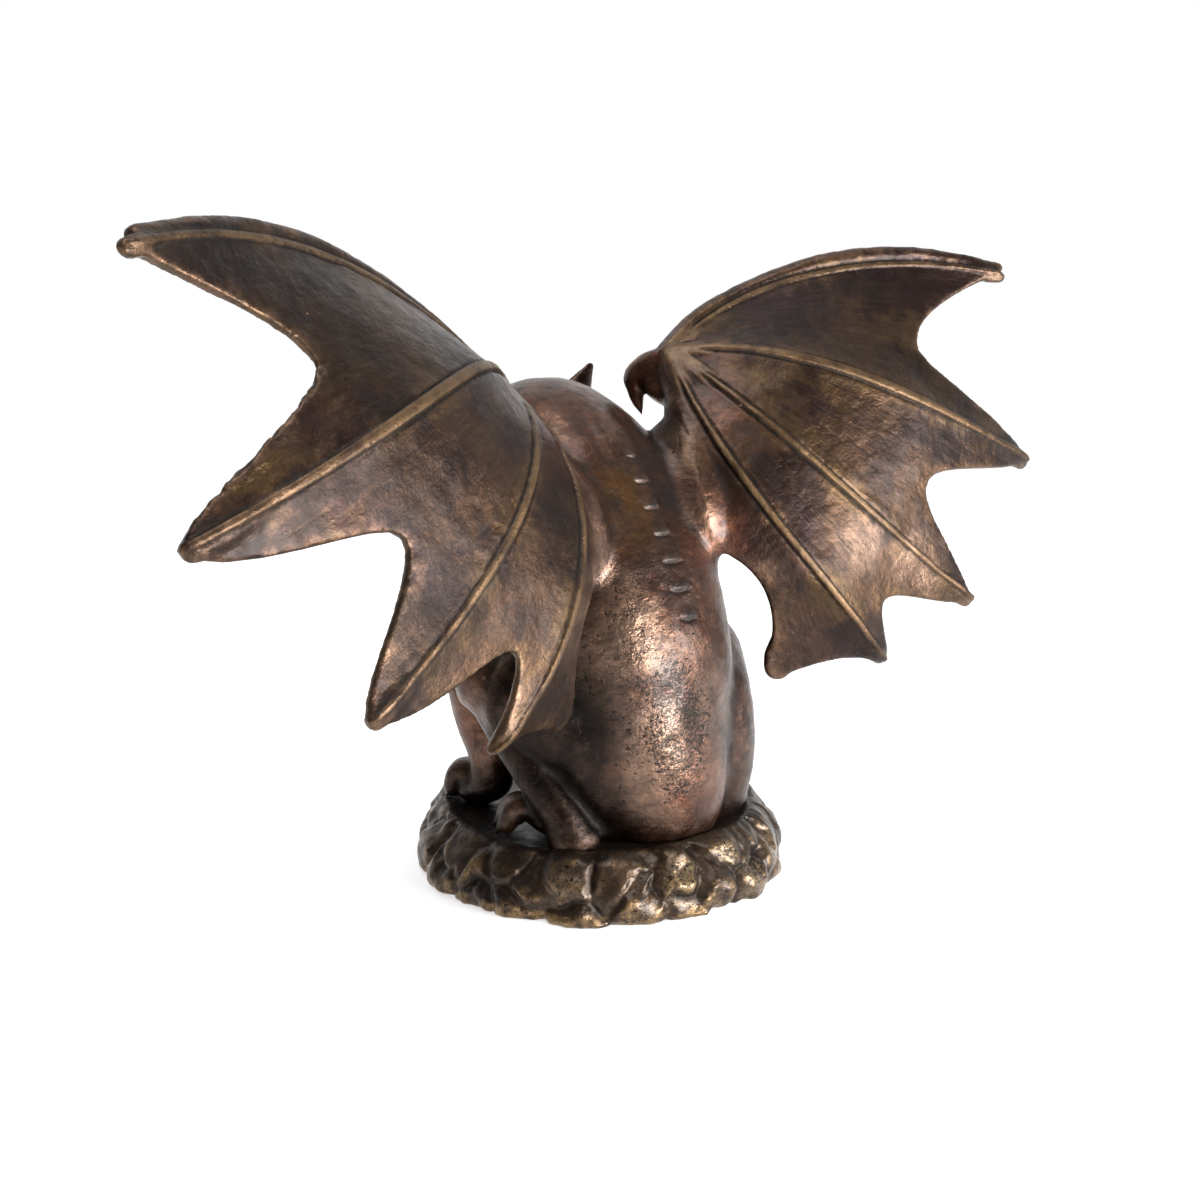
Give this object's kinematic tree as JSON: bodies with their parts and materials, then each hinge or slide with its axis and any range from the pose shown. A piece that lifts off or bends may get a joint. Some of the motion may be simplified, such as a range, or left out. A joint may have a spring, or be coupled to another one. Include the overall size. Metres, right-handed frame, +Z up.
{
  "type": "gargoyle statue",
  "caption": "Bronze statue of a crouching gargoyle with spread, scalloped bat wings, set on a round rocky plinth.",
  "frame": {"origin": "centre of the plinth's flat underside", "axes": "+Z up; the gargoyle faces -Y, and its left wing points to +X"},
  "size_m": [0.6117, 0.2697, 0.3686],
  "materials": {
    "figure_bronze": "dark brown patina over bronze, rubbed to copper and brass on the raised parts",
    "plinth_bronze": "dark olive patina over bronze, rubbed bright on the boulders"
  },
  "bodies": {
    "root": {"gargoyle": "figure_bronze", "rock_plinth": "plinth_bronze"}
  },
  "joints": []
}
